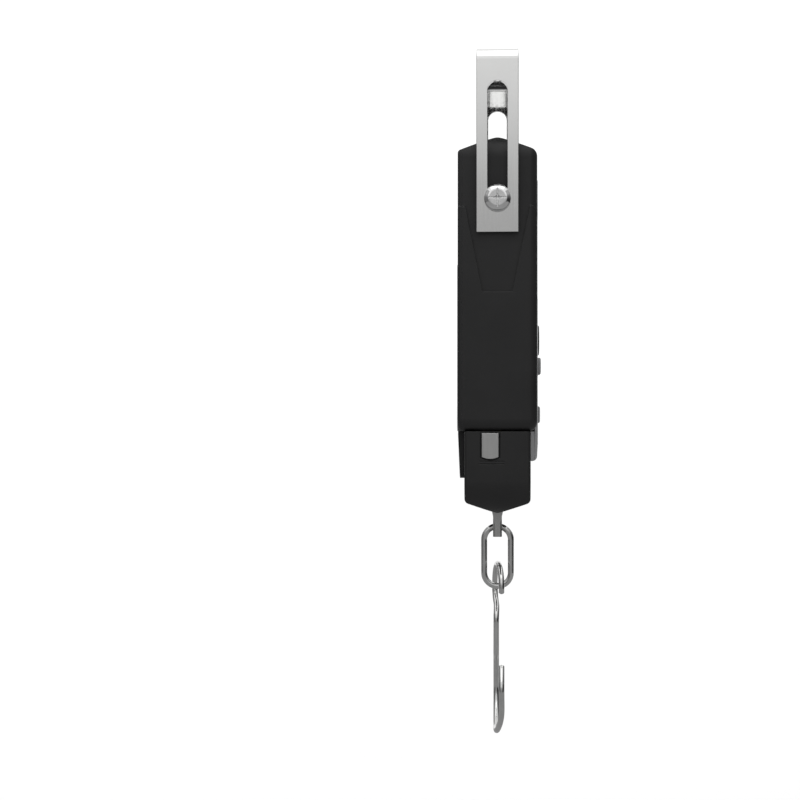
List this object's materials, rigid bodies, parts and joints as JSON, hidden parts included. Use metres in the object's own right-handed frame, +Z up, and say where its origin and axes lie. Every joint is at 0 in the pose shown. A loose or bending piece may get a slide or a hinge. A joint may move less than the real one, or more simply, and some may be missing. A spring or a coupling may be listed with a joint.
{
  "type": "hanging scale",
  "caption": "Handheld hanging scale with a slotted strap handle, slim plastic case, display and keys, pull-out tape measure, chain link and wire hook.",
  "frame": {"origin": "centre of the underside of the handle strap's web, where the scale hangs", "axes": "+Z up, display faces -Y, width along X"},
  "size_m": [0.0878, 0.0382, 0.3163],
  "materials": {
    "stainless_strap": "brushed",
    "polished_steel": "polished",
    "black_nylon": "matt",
    "black_case": "fine matt texture",
    "silver_panel": "satin silver-grey",
    "window_glass": "gloss",
    "rubber_seal": "matt",
    "zinc_steel": "zinc plated",
    "raw_aluminium": "milled",
    "gauge_foil": "foil",
    "brushed_bar": "satin",
    "bright_wire": "bright nickel",
    "circuit_board": "solder mask",
    "lcd_glass": "gloss",
    "white_plastic": "matt",
    "chip_plastic": "moulded",
    "battery_jacket": "printed film",
    "nickel_contact": "nickel plated",
    "grey_nylon": "matt",
    "tape_steel": "yellow lacquer",
    "spring_steel": "blued",
    "tab_steel": "satin",
    "black_rubber_key": "silky matt",
    "grey_key": "silky matt"
  },
  "bodies": {
    "handle": {"handle_strap": "stainless_strap"},
    "slot_slider": {"slot_bushes": "polished_steel", "side_washers": "black_nylon"},
    "case": {"handle_screws": "polished_steel", "front_shell": "black_case", "rear_shell": "black_case", "front_panel": "silver_panel", "display_window": "window_glass", "window_gasket": "rubber_seal", "nose_block": "black_case", "nose_guide": "black_nylon", "case_screws": "zinc_steel", "nose_screws": "zinc_steel", "cross_yoke": "zinc_steel", "cell_bolt": "zinc_steel", "load_cell": "raw_aluminium", "strain_gauges": "gauge_foil", "draw_bar": "brushed_bar", "draw_bar_nut": "zinc_steel", "main_board": "circuit_board", "board_screws": "zinc_steel", "lcd_glass": "lcd_glass", "lcd_frame": "white_plastic", "controller_chip": "chip_plastic", "buzzer": "chip_plastic", "key_switches": "chip_plastic", "battery_tray": "black_case", "batteries": "battery_jacket", "battery_contacts": "nickel_contact", "tape_axle": "zinc_steel"},
    "hold_key": {"hold_key": "black_rubber_key"},
    "unit_key": {"unit_key": "grey_key"},
    "tare_key": {"tare_key": "grey_key"},
    "power_key": {"power_key": "grey_key"},
    "battery_door": {"battery_cover": "black_case"},
    "tape_reel": {"tape_drum": "grey_nylon", "tape_coil": "tape_steel", "tape_spring": "spring_steel"},
    "tape": {"tape_blade": "tape_steel", "tape_end_tab": "tab_steel", "tape_rivets": "polished_steel"},
    "link": {"chain_link": "bright_wire"},
    "hook": {"wire_hook": "bright_wire"}
  },
  "joints": [
    {"name": "handle_slide", "type": "slide", "parent": "handle", "child": "slot_slider", "axis": [0, 0, 1], "range_m": [0, 0.036]},
    {"name": "handle_swing", "type": "hinge", "parent": "slot_slider", "child": "case", "pos_m": [0, 0, -0.06615], "axis": [1, 0, 0], "range_deg": [-90, 90]},
    {"name": "battery_door_slide", "type": "slide", "parent": "case", "child": "battery_door", "axis": [0, 0, -1], "range_m": [0, 0.025]},
    {"name": "tape_pull", "type": "slide", "parent": "case", "child": "tape", "axis": [-1, 0, 0], "range_m": [0, 0.025], "stiffness_N_per_m": 20, "springref_m": -0.02},
    {"name": "reel_spin", "type": "hinge", "parent": "case", "child": "tape_reel", "pos_m": [-0.0203, 0.0033, -0.187], "axis": [0, 1, 0], "range_deg": [-115, 1]},
    {"name": "link_swing", "type": "hinge", "parent": "case", "child": "link", "pos_m": [0, 0, -0.22295], "axis": [1, 0, 0], "range_deg": [-55, 55]},
    {"name": "hook_swing", "type": "hinge", "parent": "link", "child": "hook", "pos_m": [0, 0, -0.24495], "axis": [0, 1, 0], "range_deg": [-75, 75]},
    {"name": "hold_key_press", "type": "slide", "parent": "case", "child": "hold_key", "axis": [0, 1, 0], "range_m": [0, 0.0008], "stiffness_N_per_m": 300},
    {"name": "unit_key_press", "type": "slide", "parent": "case", "child": "unit_key", "axis": [0, 1, 0], "range_m": [0, 0.0008], "stiffness_N_per_m": 300},
    {"name": "tare_key_press", "type": "slide", "parent": "case", "child": "tare_key", "axis": [0, 1, 0], "range_m": [0, 0.0008], "stiffness_N_per_m": 300},
    {"name": "power_key_press", "type": "slide", "parent": "case", "child": "power_key", "axis": [0, 1, 0], "range_m": [0, 0.0008], "stiffness_N_per_m": 300}
  ],
  "couplings": [
    {"joint": "reel_spin", "follows": "tape_pull", "rad_per_m": -76.3}
  ]
}
